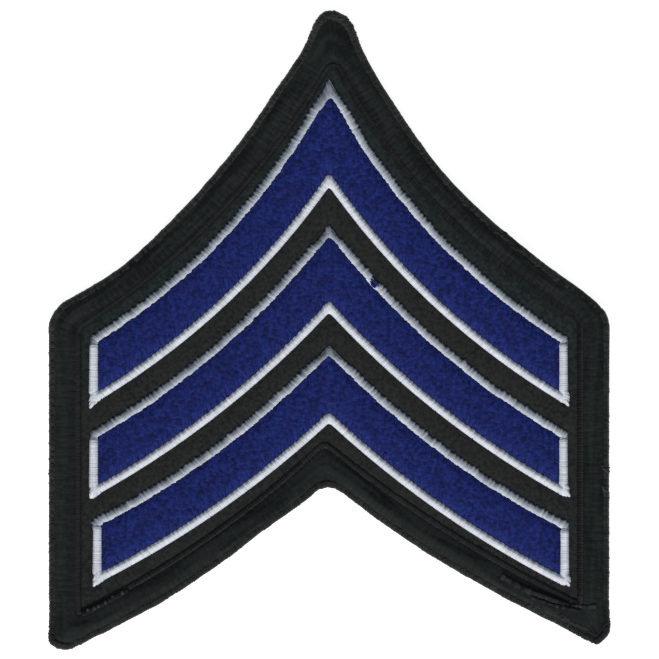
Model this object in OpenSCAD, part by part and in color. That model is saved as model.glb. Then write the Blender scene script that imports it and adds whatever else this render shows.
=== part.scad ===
// Rank chevron patch: three curved bars on cloth with an overlocked border.
// It lies flat on its back, face up, with the point of the chevrons towards +Y.
// The origin is below the middle of the patch, on the plane of its back.

/* [Patch] */
// Width of the patch over its two straight sides
patch_w = 76.2; // [60:0.1:100]
// Cloth left showing between the border and the upper edge of the top bar
top_margin = 1.5; // [0.8:0.1:4]
// Cloth left showing between the border and the ends of the bars
side_margin = 1.6; // [0.8:0.1:4]
// Cloth left showing between the border and the lower edge of the bottom bar
bottom_margin = 2; // [0.8:0.1:4]
// How far the outline's point sits to the right of the bars' centre line
point_shift = 0.8; // [0:0.1:1]
// How far the outline's notch sits to the left of the bars' centre line
notch_shift = 0.5; // [0:0.1:1]
// Usual length over which the border rounds a corner
corner_round = 2; // [1:0.1:3]

/* [Bars] */
// Width of a bar with its edging, square to its edges at the middle
bar_w = 7.7; // [5:0.1:11]
// Cloth left showing between two bars, square to their edges at the middle
bar_gap = 2.9; // [1:0.1:6]
// Height of the blue fill stitches above the cloth
fill_h = 0.6; // [0.3:0.05:1]

/* [Edging] */
// Width of the white satin line round each bar
edging_w = 1.05; // [0.6:0.05:1.6]
// Height of the white satin line above the cloth
edging_h = 0.8; // [0.5:0.05:1.2]

/* [Cloth] */
// Thickness of the cloth with its backing
cloth_t = 1.2; // [1:0.05:2]
// Thickness of the cloth's pinched edge inside the border
tongue_t = 0.6; // [0.4:0.05:0.7]
// Clear space left between two pieces
clearance = 0.05; // [0.02:0.01:0.1]

/* [Border] */
// Width of the overlocked border
border_w = 3.9; // [3:0.1:5]
// Height of the border's ridge above its underside
crest_h = 2.3; // [1.8:0.05:3]
// Distance of that ridge from the outer edge
crest_in = 1.9; // [1.6:0.1:2.2]
// Height at which the border reaches farthest out
rim_h = 0.9; // [0.7:0.05:1.1]
// Width over which the border's underside rounds up to its rim
rim_round = 0.5; // [0.3:0.05:0.8]
// Width of the wound thread outside the cloth's pinched edge
wrap_w = 1.4; // [1.2:0.1:1.8]
// Height by which the border's inner edge stands above the cloth
inner_rise = 0.25; // [0.1:0.05:0.4]

/* [Hidden] */

// Each long edge: the slope of its chord and how far its arc turns, in degrees
SLOPE = 0;
TURN = 1;
left_top_cut = [49.7, 38];
right_top_cut = [50, 44.5];
left_bottom_cut = [32.6, 19];
right_bottom_cut = [30.7, 14];

// Edges of the bars from the top down, with a third column: the share of bar_w or bar_gap above the edge
ABOVE = 2;
bar_edges = [
    [47.6, 32, 0],
    [42.5, 24.5, 1],
    [41.2, 23.2, 1.02],
    [37.9, 18.8, 1.01],
    [36.9, 20.8, 0.98],
    [34.6, 16.6, 0.99]
];

// Ends of each bar, left and right, as shares of the usual half length
bar_ends = [
    [1, 1],
    [1, 1],
    [0.985, 1.005]
];

// Each corner: the share of its rounding before it, the share after it and how full the curve is
point_corner = [3.15, 3, 0.31];
left_shoulder = [1.2, 1, 0.35];
left_foot = [1, 1.4, 0.33];
notch_corner = [1.2, 1.5, 0.6];
right_foot = [0.77, 0.95, 0.1];
right_shoulder = [1.65, 2.6, 0.35];
edging_corner = [1, 1, 0.55];

// Share of a corner's rounding that is left at the inner side of the border
inner_round = 0.25;
// Rounding of the edging's corners as a share of its width
edging_round = 0.35;
// Height at which the edging starts to round over, as a share of its height
edging_side = 0.3;

// Straight steps that draw each stretch of a curve
corner_steps = 4;
side_steps = 3;
cut_steps = 18;
bar_steps = 13;
arch_steps = 6;
rim_steps = 2;
ridge_steps = 4;

half_w = patch_w / 2;
bar_run = half_w - border_w - side_margin;
tongue_z = (cloth_t - tongue_t) / 2;
stitch_z = cloth_t + clearance;

// How high the middle of a long edge stands off its chord over one half of the patch
function bow_of(edge, run) = run / cos(edge[SLOPE]) / 2 * tan(edge[TURN] / 4);

// How far a long edge falls over one half of the patch
function fall_of(edge, run) = run * tan(edge[SLOPE]);

// How steep a long edge is at the centre line
function steepness(edge) = edge[SLOPE] + edge[TURN] / 2;

// Distance along the centre line between two long edges that lie a width apart
function depth_of(width, upper, lower) = width / cos((steepness(upper) + steepness(lower)) / 2);

// Where a bar's edge crosses the centre line, with the top bar's point at zero
function edge_y(i) =
    i == 0 ? 0 : edge_y(i - 1)
        - depth_of((i % 2 == 1 ? bar_w : bar_gap) * bar_edges[i][ABOVE], bar_edges[i - 1], bar_edges[i]);

last_edge = len(bar_edges) - 1;
top_cut = (left_top_cut + right_top_cut) / 2;
bottom_cut = (left_bottom_cut + right_bottom_cut) / 2;
point_y = depth_of(border_w + top_margin, top_cut, bar_edges[0]);
notch_y = edge_y(last_edge) - depth_of(border_w + bottom_margin, bar_edges[last_edge], bottom_cut);
left_top_run = half_w + point_shift;
right_top_run = half_w - point_shift;
left_bottom_run = half_w - notch_shift;
right_bottom_run = half_w + notch_shift;

// A loop is a row for each corner, anticlockwise: its place, the lengths rounded before and after it,
// how full that curve is, the bow of the edge that leaves it, towards the inside, and that edge's steps
PLACE = 0;
BEFORE = 1;
AFTER = 2;
FULL = 3;
BOW = 4;
STEPS = 5;
function corner(place, shares, size, bow, steps) =
    [place, shares[0] * size, shares[1] * size, shares[2], bow, steps];

cut_loop = [
    corner([point_shift, point_y],
        point_corner, corner_round, bow_of(left_top_cut, left_top_run), cut_steps),
    corner([-half_w, point_y - fall_of(left_top_cut, left_top_run)],
        left_shoulder, corner_round, 0, side_steps),
    corner([-half_w, notch_y - fall_of(left_bottom_cut, left_bottom_run)],
        left_foot, corner_round, -bow_of(left_bottom_cut, left_bottom_run), cut_steps),
    corner([-notch_shift, notch_y],
        notch_corner, corner_round, -bow_of(right_bottom_cut, right_bottom_run), cut_steps),
    corner([half_w, notch_y - fall_of(right_bottom_cut, right_bottom_run)],
        right_foot, corner_round, 0, side_steps),
    corner([half_w, point_y - fall_of(right_top_cut, right_top_run)],
        right_shoulder, corner_round, bow_of(right_top_cut, right_top_run), cut_steps)
];

// Outline of a bar with its edging, between its upper and its lower long edge
function bar_loop(bar) =
    let (
        upper = bar_edges[2 * bar],
        lower = bar_edges[2 * bar + 1],
        top_y = edge_y(2 * bar),
        arch_y = edge_y(2 * bar + 1),
        left = bar_run * bar_ends[bar][0],
        right = bar_run * bar_ends[bar][1],
        size = edging_w * edging_round
    )
    [
        corner([0, top_y], edging_corner, size, bow_of(upper, left), bar_steps),
        corner([-left, top_y - fall_of(upper, left)], edging_corner, size, 0, 1),
        corner([-left, arch_y - fall_of(lower, left)],
            edging_corner, size, -bow_of(lower, left), bar_steps),
        corner([0, arch_y], edging_corner, size, -bow_of(lower, right), bar_steps),
        corner([right, arch_y - fall_of(lower, right)], edging_corner, size, 0, 1),
        corner([right, top_y - fall_of(upper, right)],
            edging_corner, size, bow_of(upper, right), bar_steps)
    ];

function unit(v) = v / norm(v);
function left_of(v) = [-v.y, v.x];
function row_of(loop, i) = loop[(i + len(loop)) % len(loop)];
function chord_of(loop, i) = row_of(loop, i + 1)[PLACE] - row_of(loop, i)[PLACE];
function inward_of(loop, i) = left_of(unit(chord_of(loop, i)));

// Directions in which a bowed edge leaves its first corner and reaches its last
function leaving(loop, i) = unit(chord_of(loop, i) + 4 * row_of(loop, i)[BOW] * inward_of(loop, i));
function arriving(loop, i) = unit(chord_of(loop, i) - 4 * row_of(loop, i)[BOW] * inward_of(loop, i));

// Corner and bow of a loop that is moved inwards by an inset
function moved_place(loop, i, inset) =
    let (
        a = left_of(arriving(loop, i - 1)),
        b = left_of(leaving(loop, i))
    )
    row_of(loop, i)[PLACE] + (a + b) * inset / (1 + a * b);

function moved_bow(loop, i, inset) =
    let (
        shift = moved_place(loop, i, inset) + moved_place(loop, i + 1, inset)
            - row_of(loop, i)[PLACE] - row_of(loop, i + 1)[PLACE]
    )
    row_of(loop, i)[BOW] + inset - shift * inward_of(loop, i) / 2;

// The loop at an inset, with a share of its corners' rounding
function moved_loop(loop, inset, share) = [
    for (i = [0:len(loop) - 1])
        [
            moved_place(loop, i, inset),
            loop[i][BEFORE] * share,
            loop[i][AFTER] * share,
            loop[i][FULL],
            moved_bow(loop, i, inset),
            loop[i][STEPS]
        ]
];

// Point at a share of the way along a bowed edge
function edge_point(loop, i, way) =
    row_of(loop, i)[PLACE] + chord_of(loop, i) * way
        + inward_of(loop, i) * 4 * row_of(loop, i)[BOW] * way * (1 - way);
function way_in(loop, i) = row_of(loop, i)[AFTER] / norm(chord_of(loop, i));
function way_out(loop, i) = 1 - row_of(loop, i + 1)[BEFORE] / norm(chord_of(loop, i));

function corner_points(loop, i) =
    let (
        first = edge_point(loop, i - 1, way_out(loop, i - 1)),
        last = edge_point(loop, i, way_in(loop, i)),
        pull_first = first + (row_of(loop, i)[PLACE] - first) * row_of(loop, i)[FULL],
        pull_last = last + (row_of(loop, i)[PLACE] - last) * row_of(loop, i)[FULL]
    )
    [
        for (step = [0:corner_steps])
            let (t = step / corner_steps, s = 1 - t)
            first * s ^ 3 + pull_first * 3 * s ^ 2 * t + pull_last * 3 * s * t ^ 2 + last * t ^ 3
    ];

function edge_points(loop, i) =
    let (steps = row_of(loop, i)[STEPS], from = way_in(loop, i), to = way_out(loop, i))
    [for (step = [1:1:steps - 1]) edge_point(loop, i, from + (to - from) * step / steps)];

function loop_points(loop) = [
    for (i = [0:len(loop) - 1]) each concat(corner_points(loop, i), edge_points(loop, i))
];

// The border keeps less and less of a corner's rounding towards its inner side
function cut_inset(inset) = moved_loop(cut_loop, inset, 1 - (1 - inner_round) * inset / border_w);
function bar_inset(bar, inset) = moved_loop(bar_loop(bar), inset, 1);

cut_heights = [for (p = loop_points(cut_loop)) p.y];
middle_y = (max(cut_heights) + min(cut_heights)) / 2;

// Border section as inset and height: rounded rim, ridge, then the groove for the cloth's edge
border_section = concat(
    [for (step = [0:rim_steps - 1]) let (a = 90 - 90 * step / rim_steps)
        [rim_round * (1 - cos(a)), rim_h * (1 - sin(a))]],
    [for (step = [0:ridge_steps]) let (a = 90 * step / ridge_steps)
        [crest_in * (1 - cos(a)), rim_h + (crest_h - rim_h) * sin(a)]],
    [for (step = [1:ridge_steps]) let (a = 90 * step / ridge_steps)
        [
            crest_in + (border_w - crest_in) * step / ridge_steps,
            cloth_t + inner_rise + (crest_h - cloth_t - inner_rise) * cos(a)
        ]],
    [
        [border_w, tongue_z + tongue_t + clearance],
        [wrap_w, tongue_z + tongue_t + clearance],
        [wrap_w, tongue_z - clearance],
        [border_w, tongue_z - clearance],
        [border_w, 0]
    ]
);

// Edging section as inset and height: two upright sides with an arch between them
edging_section = concat(
    [[0, stitch_z]],
    [for (step = [0:arch_steps]) let (a = 180 * step / arch_steps)
        [edging_w / 2 * (1 - cos(a)), stitch_z + edging_h * (edging_side + (1 - edging_side) * sin(a))]],
    [[edging_w, stitch_z]]
);

// Skin over rings of points, where each ring follows its loop and the last ring meets the first
module ring_skin(rings) {
    count = len(rings[0]);
    faces = [
        for (r = [0:len(rings) - 1], i = [0:count - 1])
            let (
                here = r * count,
                above = (r + 1) % len(rings) * count,
                next = (i + 1) % count
            )
            each [
                [here + i, above + i, above + next],
                [here + i, above + next, here + next]
            ]
    ];
    polyhedron(points = [for (ring = rings) each ring], faces = faces);
}

module centred() {
    translate([0, -middle_y, 0]) children();
}

// Cloth on its backing, with the pinched edge that the border wraps
module ground_cloth() {
    color([0.145, 0.145, 0.14]) centred() union() {
        linear_extrude(cloth_t) polygon(loop_points(cut_inset(border_w + clearance)));
        translate([0, 0, tongue_z])
            linear_extrude(tongue_t) polygon(loop_points(cut_inset(wrap_w + clearance)));
    }
}

// Overlock thread wound round the cloth's edge
module merrowed_border() {
    color([0.115, 0.135, 0.135]) centred() ring_skin([
        for (s = border_section) [for (p = loop_points(cut_inset(s[0]))) [p.x, p.y, s[1]]]
    ]);
}

// Blue fill of one bar, inside its edging
module bar(number) {
    color([0.13, 0.17, 0.4]) centred() translate([0, 0, stitch_z])
        linear_extrude(fill_h) polygon(loop_points(bar_inset(number, edging_w + clearance)));
}

// White satin line round one bar
module edging(number) {
    color([0.9, 0.91, 0.93]) centred() ring_skin([
        for (s = edging_section) [for (p = loop_points(bar_inset(number, s[0]))) [p.x, p.y, s[1]]]
    ]);
}

module bar_top() { bar(0); }
module bar_middle() { bar(1); }
module bar_bottom() { bar(2); }
module edging_top() { edging(0); }
module edging_middle() { edging(1); }
module edging_bottom() { edging(2); }

ground_cloth();
merrowed_border();
bar_top();
bar_middle();
bar_bottom();
edging_top();
edging_middle();
edging_bottom();
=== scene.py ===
# %% [markdown]
# # A rank chevron patch, stitch by stitch
# The patch is embroidered: three chevron bars are filled with short blue stitches, each bar is
# edged with a white satin line, and the cloth's cut edge is bound by an overlocked border.
# Everything is made as threads here, because at this size the threads are the surface.
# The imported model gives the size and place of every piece, so it is loaded first and never moved.

# %% The frame
import math
import random

import bmesh
import bpy
import numpy as np
from mathutils import Matrix, Vector
from mathutils.bvhtree import BVHTree


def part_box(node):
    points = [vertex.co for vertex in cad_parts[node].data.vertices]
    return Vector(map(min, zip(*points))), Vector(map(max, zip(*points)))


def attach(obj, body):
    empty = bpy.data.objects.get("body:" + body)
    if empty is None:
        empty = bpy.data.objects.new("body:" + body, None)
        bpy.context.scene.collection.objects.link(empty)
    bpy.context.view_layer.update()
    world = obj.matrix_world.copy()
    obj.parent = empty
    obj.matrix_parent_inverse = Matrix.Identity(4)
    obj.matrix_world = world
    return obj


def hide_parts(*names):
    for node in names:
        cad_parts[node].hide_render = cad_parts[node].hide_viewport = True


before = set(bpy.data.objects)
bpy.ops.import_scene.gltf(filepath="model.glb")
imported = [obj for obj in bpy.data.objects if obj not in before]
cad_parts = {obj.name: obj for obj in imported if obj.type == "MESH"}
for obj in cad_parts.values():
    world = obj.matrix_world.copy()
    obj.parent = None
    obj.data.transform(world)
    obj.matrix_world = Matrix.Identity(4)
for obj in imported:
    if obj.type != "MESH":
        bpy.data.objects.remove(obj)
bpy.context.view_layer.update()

MM = 0.001
chance = random.Random(7)
scene = bpy.context.scene

# %% [markdown]
# ## Camera, floor and light
# The photograph looks straight down on the face, so the camera hangs above the patch and a long
# lens keeps the border from leaning. The light comes low from below the feet of the chevrons:
# that is why each ridge is bright on its lower side and dark on its upper one. A pale sky fills
# the rest. The floor is the plane that the patch's back lies on. It glows a little, like a light
# table, because the photograph's ground is white right up to the border, with no shadow.

# %% Camera
PHOTO_W = 89.7 * MM
CAMERA_Z = 1.0
RIM_Z = 0.9 * MM
PHOTO_MIDDLE = (0.014 * MM, -0.034 * MM)

bpy.ops.object.select_all(action="DESELECT")
bpy.ops.object.camera_add(location=(*PHOTO_MIDDLE, CAMERA_Z), rotation=(0, 0, 0))
camera = bpy.context.object
camera.data.lens = camera.data.sensor_width * (CAMERA_Z - RIM_Z) / PHOTO_W
camera.data.clip_start = 0.01
camera.data.clip_end = 20
scene.camera = camera
print("lens", round(camera.data.lens), "mm")

# %% Floor and light
FLOOR_SIZE = 6.0
SUN_ELEVATION = math.radians(42)
SUN_HEADING = math.radians(-8)
SUN_SOFTNESS = math.radians(22)
SUN_STRENGTH = 3.9
SUN_COLOUR = (1.0, 0.985, 0.955)
SKY_STRENGTH = 0.36
SKY_COLOUR = (0.93, 0.97, 1.0)
FLOOR_GLOW = 0.88

bpy.ops.mesh.primitive_plane_add(size=FLOOR_SIZE, location=(0, 0, -0.02 * MM))
floor = bpy.context.object
floor.name = "floor"
floor_paint = bpy.data.materials.new("floor_paint")
floor_paint.use_nodes = True
floor_shader = floor_paint.node_tree.nodes["Principled BSDF"]
floor_shader.inputs["Base Color"].default_value = (0.4, 0.4, 0.4, 1)
floor_shader.inputs["Emission Color"].default_value = (1, 1, 1, 1)
floor_shader.inputs["Emission Strength"].default_value = FLOOR_GLOW
floor_shader.inputs["Roughness"].default_value = 1
floor_shader.inputs["Specular IOR Level"].default_value = 0
floor.data.materials.append(floor_paint)

bpy.ops.object.light_add(type="SUN", rotation=(math.pi / 2 - SUN_ELEVATION, 0, SUN_HEADING))
sun = bpy.context.object
sun.data.energy = SUN_STRENGTH
sun.data.angle = SUN_SOFTNESS
sun.data.color = SUN_COLOUR
scene.world = bpy.data.worlds.new("sky")
scene.world.use_nodes = True
sky = scene.world.node_tree.nodes["Background"]
sky.inputs["Color"].default_value = (*SKY_COLOUR, 1)
sky.inputs["Strength"].default_value = SKY_STRENGTH
scene.view_settings.view_transform = "Standard"

# %% [markdown]
# ## Outlines from the frame
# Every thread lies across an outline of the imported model: a wrap of the border from its outer to
# its inner edge, a satin stitch across its white line. So the outlines are read from the nodes.
# An outline at one height is the closed row of edges that don't lie inside a flat face there.

# %% Reading outlines
TINY = 0.01 * MM
FINE = 0.1 * MM


def outlines(node, height):
    """Outlines of a node at one height, as rows of (x, y), anticlockwise, the widest first."""
    shape = bmesh.new()
    shape.from_mesh(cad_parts[node].data)
    bmesh.ops.remove_doubles(shape, verts=shape.verts, dist=TINY / 10)

    def level(part):
        return all(abs(v.co.z - height) < TINY for v in part.verts)

    follows = {}
    for edge in shape.edges:
        if level(edge) and sum(level(face) for face in edge.link_faces) < 2:
            for v in edge.verts:
                follows.setdefault(v, []).append(edge.other_vert(v))
    loops = []
    while follows:
        here = next(iter(follows))
        loop = []
        while here in follows:
            loop.append((here.co.x, here.co.y))
            here = next((v for v in follows.pop(here) if v in follows), None)
        loops.append(np.array(loop))
    shape.free()
    loops = [loop if area(loop) > 0 else loop[::-1] for loop in loops]
    return sorted(loops, key=area, reverse=True)


def area(loop):
    """Area inside a row of points, above zero where it runs anticlockwise."""
    x, y = loop.T
    return float(np.sum(x * np.roll(y, -1) - np.roll(x, -1) * y)) / 2


def opposite(loop, other):
    """The other loop, started where its points lie opposite those of the first."""
    misses = [np.sum((np.roll(other, k, axis=0) - loop) ** 2) for k in range(len(loop))]
    return np.roll(other, int(np.argmin(misses)), axis=0)


def evened(loop, step):
    """A loop with its points an even step apart."""
    ends = np.vstack([loop, loop[:1]])
    along = np.append(0, np.cumsum(np.linalg.norm(np.diff(ends, axis=0), axis=1)))
    places = np.linspace(0, along[-1], round(along[-1] / step), endpoint=False)
    return np.column_stack([np.interp(places, along, column) for column in ends.T])


def facing(points, loop, fan):
    """The places on a loop that face a row of points, eased along it so that they fan round corners."""
    loop = evened(loop, FINE)
    gaps = np.linalg.norm(points[:, None] - loop[None], axis=2)
    even = np.arange(len(points)) * len(loop) / len(points)
    drift = np.unwrap(gaps.argmin(axis=1), period=len(loop)) - even
    reached = round(fan / FINE / 2)
    places = even + np.mean([np.roll(drift, k) for k in range(-reached, reached + 1)], axis=0)
    around = np.arange(len(loop))
    return np.column_stack([np.interp(places, around, column, period=len(loop)) for column in loop.T])


def stations(outer, inner, pitch, fan):
    """Facing points on the two edges of a band, nowhere more than a pitch apart."""
    middle = evened((outer + opposite(outer, inner)) / 2, FINE)
    rows = [middle, facing(middle, outer, fan), facing(middle, inner, fan)]
    steps = np.max([np.linalg.norm(np.roll(row, -1, axis=0) - row, axis=1) for row in rows], axis=0)
    along = np.cumsum(steps)
    stops = np.linspace(0, along[-1], round(along[-1] / pitch), endpoint=False)
    picked = np.searchsorted(along, stops)
    return rows[1][picked], rows[2][picked]


def band_width(outer, inner):
    """Usual distance between facing points."""
    return float(np.median(np.linalg.norm(outer - inner, axis=1)))


def levels(node):
    """Heights at which a node has points, from the lowest up."""
    return sorted({round(v.co.z / MM, 3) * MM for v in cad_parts[node].data.vertices})


def border_stops(pitch):
    """Facing points on the rim and on the border's inner edge."""
    return stations(rim, inner_edge, pitch, BORDER_FAN)


BORDER_FAN = 6 * MM

border_rings = {z: outlines("merrowed_border", z)[-1] for z in levels("merrowed_border")}
rim = max(border_rings.values(), key=area)
least = min(area(ring) for ring in border_rings.values())
inner_z = max(z for z, ring in border_rings.items() if area(ring) < least * 1.001)
inner_edge = border_rings[inner_z]
border_w = band_width(*border_stops(1 * MM))
border_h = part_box("merrowed_border")[1].z
print("border, width and height", round(border_w / MM, 2), round(border_h / MM, 2), "mm")

# %% [markdown]
# The patch was cut and bound by hand on the machine, so its rim strays a little from the drawn line,
# by less than half a millimetre. The table holds the main bulges and dips: a bearing in degrees round
# the middle, and the stray in mm, rounded to a tenth. Their places were found by measuring the
# photograph's outline against the drawn one.

# %% The rim's strays
RIM_STRAYS = (
    (-180, 0.2), (-137, 0.2), (-133, 0.0), (-122, 0.3), (-108, -0.1), (-97, 0.4), (-90, 0.0),
    (-68, 0.3), (-46, 0.0), (-42, 0.1), (0, 0.1), (3, 0.4), (10, -0.3), (24, 0.0), (54, -0.2),
    (72, 0.0), (86, -0.4), (90, 0.0), (94, -0.3), (102, 0.3), (130, 0.2), (146, 0.0),
    (164, -0.4), (177, 0.4))


def rim_stray(point):
    """How far outwards the real rim strays from the drawn one at a point."""
    bearing = math.degrees(math.atan2(point[1], point[0]))
    bearings, strays = zip(*RIM_STRAYS)
    return float(np.interp(bearing, bearings, strays, period=360)) * MM


def stray_out(piece):
    """Moves a border piece's points out with the rim, less and less towards its inner edge."""
    rims, feet = border_stops(0.5 * MM)
    for v in piece.data.vertices:
        from_rim = np.linalg.norm(rims - v.co.xy, axis=1)
        from_foot = np.linalg.norm(feet - v.co.xy, axis=1)
        k = int((from_rim + from_foot).argmin())
        outward = Vector(rims[k] - feet[k]).normalized()
        v.co.xy += outward * rim_stray(rims[k]) * from_foot[k] / (from_rim[k] + from_foot[k])


strays = [stray for bearing, stray in RIM_STRAYS]
print("the rim strays from", min(strays), "to", max(strays), "mm")

# %% [markdown]
# ## One thread
# A stitch is a short length of thread. It starts as a small circle, which is extruded from point
# to point of the stitch's path, and turned and resized on the way, as it would be by hand. A
# curve with a bevel would make the same tube, but with a ring at every point of its own choice.
# Its map runs along the thread and round it, so that the twist of the thread can follow it.

# %% Modelling a thread
# Length that a stitch with its path in mm is taken to have
PLAIN_LENGTH = 1 * MM


def deselect():
    bpy.ops.object.select_all(action="DESELECT")


def activate(*pieces):
    deselect()
    for piece in pieces:
        piece.select_set(True)
    bpy.context.view_layer.objects.active = pieces[0]


def apply_modifier(piece, name):
    activate(piece)
    bpy.ops.object.modifier_apply(modifier=name)


def mode(name):
    bpy.ops.object.mode_set(mode=name)


def model_thread(name, path, long, high, radius, swell, flat, middle=0.0, sides=6):
    """A closed thread, flat times as thick as it is wide. Its path holds shares of a length and a
    height, from a middle, and its swell is its radius at each point as a share of the usual one."""
    points = [Vector(((x - middle) * long, 0, z * high)) for x, z in path]
    radii = [radius * share for share in swell]
    legs = [b - a for a, b in zip(points, points[1:])]
    leans = [math.atan2(leg.x, leg.z) for leg in legs]
    between = [a + least_turn(b - a) / 2 for a, b in zip(leans, leans[1:])]
    leans = [leans[0]] + between + [leans[-1]]
    deselect()
    bpy.ops.mesh.primitive_circle_add(
        vertices=sides, radius=radii[0], fill_type="NGON", location=points[0],
        rotation=(0, leans[0], 0))
    thread = bpy.context.object
    thread.name = name
    bpy.ops.object.transform_apply(location=True, rotation=True, scale=True)
    mode("EDIT")
    for k in range(1, len(points)):
        bpy.ops.mesh.extrude_region_move(TRANSFORM_OT_translate={"value": points[k] - points[k - 1]})
        turn = least_turn(leans[k] - leans[k - 1])
        bpy.ops.transform.rotate(value=-turn, orient_axis="Y", center_override=points[k])
        grow = radii[k] / radii[k - 1]
        bpy.ops.transform.resize(value=(grow, grow, grow), center_override=points[k])
    bpy.ops.mesh.select_all(action="SELECT")
    bpy.ops.mesh.normals_make_consistent(inside=False)
    mode("OBJECT")
    bpy.ops.object.shade_smooth()
    map_thread(thread.data, sides, len(points))
    for v in thread.data.vertices:
        centre = points[v.index // sides] if v.index // sides < len(points) else points[-1]
        v.co = centre + (v.co - centre) * flat
        v.co.y /= flat
    return thread


def least_turn(angle):
    return (angle + math.pi) % (2 * math.pi) - math.pi


def map_thread(mesh, sides, rings):
    """Writes a map that runs along the thread from 0 to 1 and once round it."""
    layer = mesh.uv_layers.new(name="thread_map")
    for face in mesh.polygons:
        rounds = [(mesh.loops[k].vertex_index % sides) / sides for k in face.loop_indices]
        wraps = max(rounds) - min(rounds) > 0.5
        for k, r in zip(face.loop_indices, rounds):
            ring = mesh.loops[k].vertex_index // sides
            layer.uv[k].vector = (ring / (rings - 1), r + 1 if wraps and r < 0.5 else r)


# %% [markdown]
# ## Hundreds of stitches
# The real patch has a few thousand stitches of five or six kinds. Each kind is modelled once, and
# Geometry Nodes lays copies of it at points that carry a turn, a size and a tone. The copies are
# realized, so each piece ends as one plain mesh. An Array modifier couldn't turn each copy.

# %% Laying copies
def write_values(mesh, name, kind, values):
    """Gives each point of a mesh a number, or three of them."""
    data = mesh.attributes.new(name, kind, "POINT").data
    flat = np.array(values, np.float32).ravel()
    data.foreach_set("value" if kind == "FLOAT" else "vector", flat)


def lay_copies(name, stitch, places):
    """One mesh of copies of a stitch. A place is (point, turn, size, tone, fade, streak)."""
    spots = np.array([place[0] for place in places])
    points = bpy.data.meshes.new(name)
    points.from_pydata(spots.tolist(), [], [])
    along = np.append(0, np.cumsum(np.linalg.norm(np.diff(spots, axis=0), axis=1)))
    write_values(points, "along", "FLOAT", along)
    columns = (
        ("turn", "FLOAT_VECTOR", 1), ("size", "FLOAT_VECTOR", 2),
        ("tone", "FLOAT", 3), ("fade", "FLOAT", 4), ("streak", "FLOAT", 5))
    for label, kind, column in columns:
        write_values(points, label, kind, [place[column] for place in places])
    piece = bpy.data.objects.new(name, points)
    scene.collection.objects.link(piece)
    laying = piece.modifiers.new("laying", "NODES")
    laying.node_group = laying_nodes(stitch)
    apply_modifier(piece, "laying")
    for label in ("turn", "size"):
        used = piece.data.attributes.get(label)
        if used:
            piece.data.attributes.remove(used)
    print(name, len(places), "stitches,", len(piece.data.polygons), "faces")
    return piece


def laying_nodes(stitch):
    tree = bpy.data.node_groups.new("lay_" + stitch.name, "GeometryNodeTree")
    tree.interface.new_socket("Points", in_out="INPUT", socket_type="NodeSocketGeometry")
    tree.interface.new_socket("Stitches", in_out="OUTPUT", socket_type="NodeSocketGeometry")
    start = tree.nodes.new("NodeGroupInput")
    end = tree.nodes.new("NodeGroupOutput")
    copy = tree.nodes.new("GeometryNodeInstanceOnPoints")
    realize = tree.nodes.new("GeometryNodeRealizeInstances")
    info = tree.nodes.new("GeometryNodeObjectInfo")
    info.inputs["Object"].default_value = stitch
    tree.links.new(start.outputs[0], copy.inputs["Points"])
    tree.links.new(info.outputs["Geometry"], copy.inputs["Instance"])
    for label, socket in (("turn", "Rotation"), ("size", "Scale")):
        read = tree.nodes.new("GeometryNodeInputNamedAttribute")
        read.data_type = "FLOAT_VECTOR"
        read.inputs["Name"].default_value = label
        tree.links.new(read.outputs["Attribute"], copy.inputs[socket])
    tree.links.new(copy.outputs["Instances"], realize.inputs["Geometry"])
    tree.links.new(realize.outputs["Geometry"], end.inputs[0])
    return tree


def across(start, end, length, lean=0.0, width=1.0, tone=0.0, rise=1.0, fade=0.0, streak=0.0):
    """The place of a stitch of a known length that is laid from one point to another, lighter
    than its tone at its end by the fade and darker at its start."""
    way = Vector(end) - Vector(start)
    turn = (0, -math.atan2(way.z, way.xy.length), math.atan2(way.y, way.x) + lean)
    return (Vector(start) + Vector(end)) / 2, turn, (way.length / length, width, rise), tone, fade, streak


def lift(point, z):
    return Vector((point[0], point[1], z))


# %% [markdown]
# ## Finishes
# All the threads share one build of finish. The tone of each stitch varies a little, as dyed thread
# does, and on many stitches it also carries painted light and shade by the way the stitch faces the
# lamp. It can fade along the stitch, which on the white lines and the border's turns paints light and
# shade from one end to the other, and a noise on the object mottles it. The border's turns also carry
# streaks that run on from turn to turn. The twist of the thread raises a bump that follows its map.
# Cloth gets its own finish, because it is woven.

# %% Thread finishes
def add_node(tree, kind, **settings):
    node = tree.nodes.new(kind)
    for name, value in settings.items():
        setattr(node, name, value)
    return node


def new_finish(name, roughness, specular, sheen, sheen_tint):
    finish = bpy.data.materials.new(name)
    finish.use_nodes = True
    shader = finish.node_tree.nodes["Principled BSDF"]
    shader.inputs["Roughness"].default_value = roughness
    shader.inputs["Specular IOR Level"].default_value = specular
    shader.inputs["Sheen Weight"].default_value = sheen
    shader.inputs["Sheen Roughness"].default_value = 0.5
    shader.inputs["Sheen Tint"].default_value = (*sheen_tint, 1)
    return finish, finish.node_tree, shader


def finish_piece(piece, finish, slot, *nodes):
    """Gives a piece its finish, hangs it on the root, and hides the imported nodes that it stands for."""
    piece.data.materials.clear()
    piece.data.materials.append(finish)
    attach(piece, "root")
    if nodes:
        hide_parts(*nodes)
    return piece


def mix_colours(tree, share, low, high):
    """A colour between two, by a share from 0 to 1. Each may be a socket or a colour."""
    mix = add_node(tree, "ShaderNodeMix", data_type="RGBA")
    for socket, value in ((mix.inputs[0], share), (mix.inputs[6], low), (mix.inputs[7], high)):
        if isinstance(value, bpy.types.NodeSocket):
            tree.links.new(value, socket)
        elif isinstance(value, float):
            socket.default_value = value
        else:
            socket.default_value = (*value, 1)
    return mix.outputs[2]


def reach(tree, value, low, high, start=0.0, end=1.0):
    """A value stretched from one range to another and kept inside it."""
    stretch = add_node(tree, "ShaderNodeMapRange")
    tree.links.new(value, stretch.inputs["Value"])
    for name, number in (("From Min", low), ("From Max", high), ("To Min", start), ("To Max", end)):
        stretch.inputs[name].default_value = number
    return stretch.outputs["Result"]


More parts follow.
